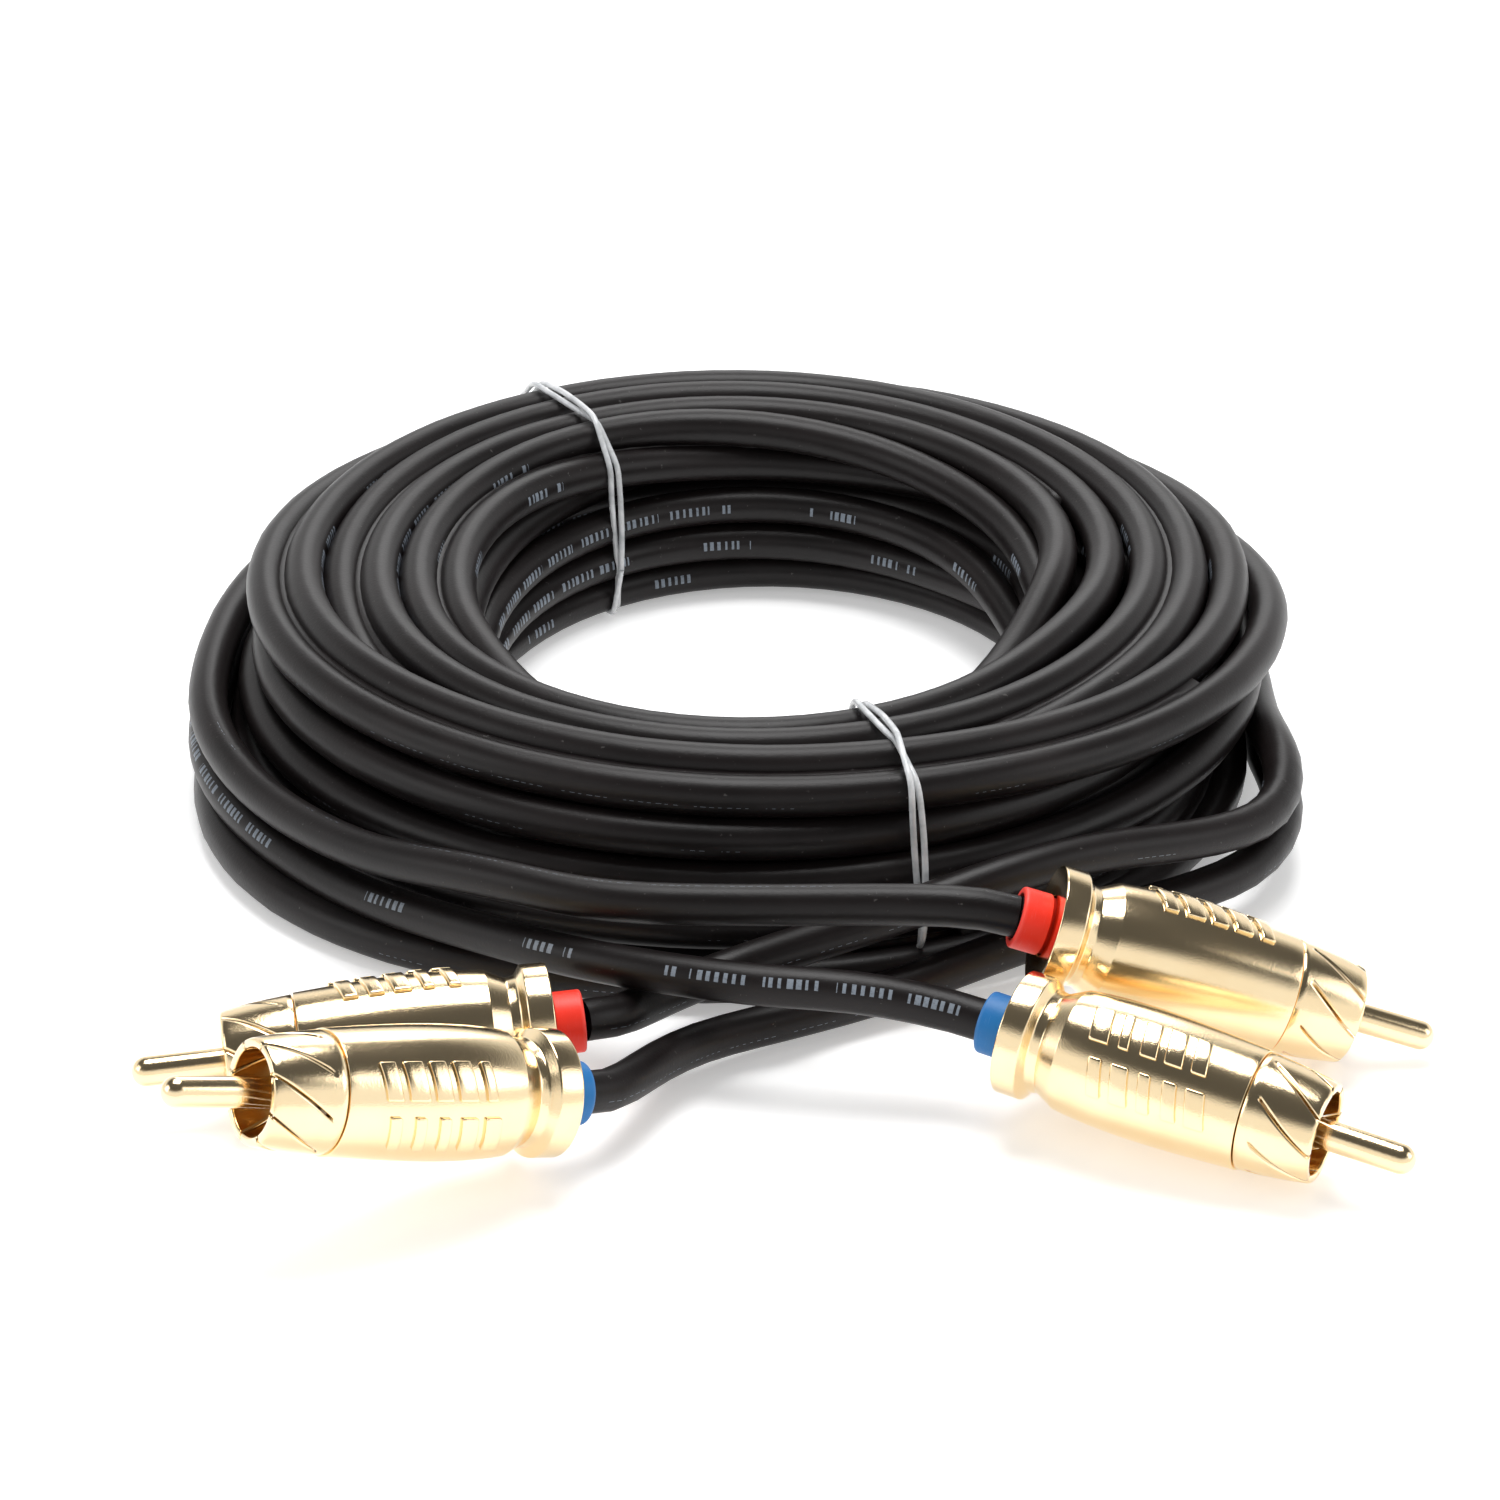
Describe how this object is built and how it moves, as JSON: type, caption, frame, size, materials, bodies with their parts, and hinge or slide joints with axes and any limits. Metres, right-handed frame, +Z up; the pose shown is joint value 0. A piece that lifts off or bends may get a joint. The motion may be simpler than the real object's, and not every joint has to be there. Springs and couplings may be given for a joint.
{
  "type": "rca audio cable",
  "caption": "Coiled two channel audio cable with gold phono plugs, red and blue colour rings and clear twist ties.",
  "frame": {"origin": "centre of the cable's base, on the surface it lies on", "axes": "+Z up, +X to the viewer's right with the plugs in front, +Y from the plugs to the far side of the coil"},
  "size_m": [0.1402, 0.1856, 0.0253],
  "materials": {
    "jacket": "matte black soft PVC with a faint sheen",
    "clear_plastic": "clear glossy plastic film over thin wire",
    "gold_plate": "bright gold plating, polished",
    "red_ring": "satin red plastic",
    "blue_ring": "satin blue plastic",
    "insulator": "white plastic",
    "copper": "tinned copper alloy"
  },
  "bodies": {
    "root": {"coil": "jacket", "back_tie": "clear_plastic", "front_tie": "clear_plastic", "left_blue_lead": "jacket", "left_blue_shell": "gold_plate", "left_blue_ground_sleeve": "gold_plate", "left_blue_centre_pin": "gold_plate", "left_blue_insulator": "insulator", "left_blue_colour_ring": "blue_ring", "left_blue_ground_lug": "copper", "left_blue_stripped_end": "jacket", "left_red_lead": "jacket", "left_red_shell": "gold_plate", "left_red_ground_sleeve": "gold_plate", "left_red_centre_pin": "gold_plate", "left_red_insulator": "insulator", "left_red_colour_ring": "red_ring", "left_red_ground_lug": "copper", "left_red_stripped_end": "jacket", "right_blue_lead": "jacket", "right_blue_shell": "gold_plate", "right_blue_ground_sleeve": "gold_plate", "right_blue_centre_pin": "gold_plate", "right_blue_insulator": "insulator", "right_blue_colour_ring": "blue_ring", "right_blue_ground_lug": "copper", "right_blue_stripped_end": "jacket", "right_red_lead": "jacket", "right_red_shell": "gold_plate", "right_red_ground_sleeve": "gold_plate", "right_red_centre_pin": "gold_plate", "right_red_insulator": "insulator", "right_red_colour_ring": "red_ring", "right_red_ground_lug": "copper", "right_red_stripped_end": "jacket"}
  },
  "joints": []
}
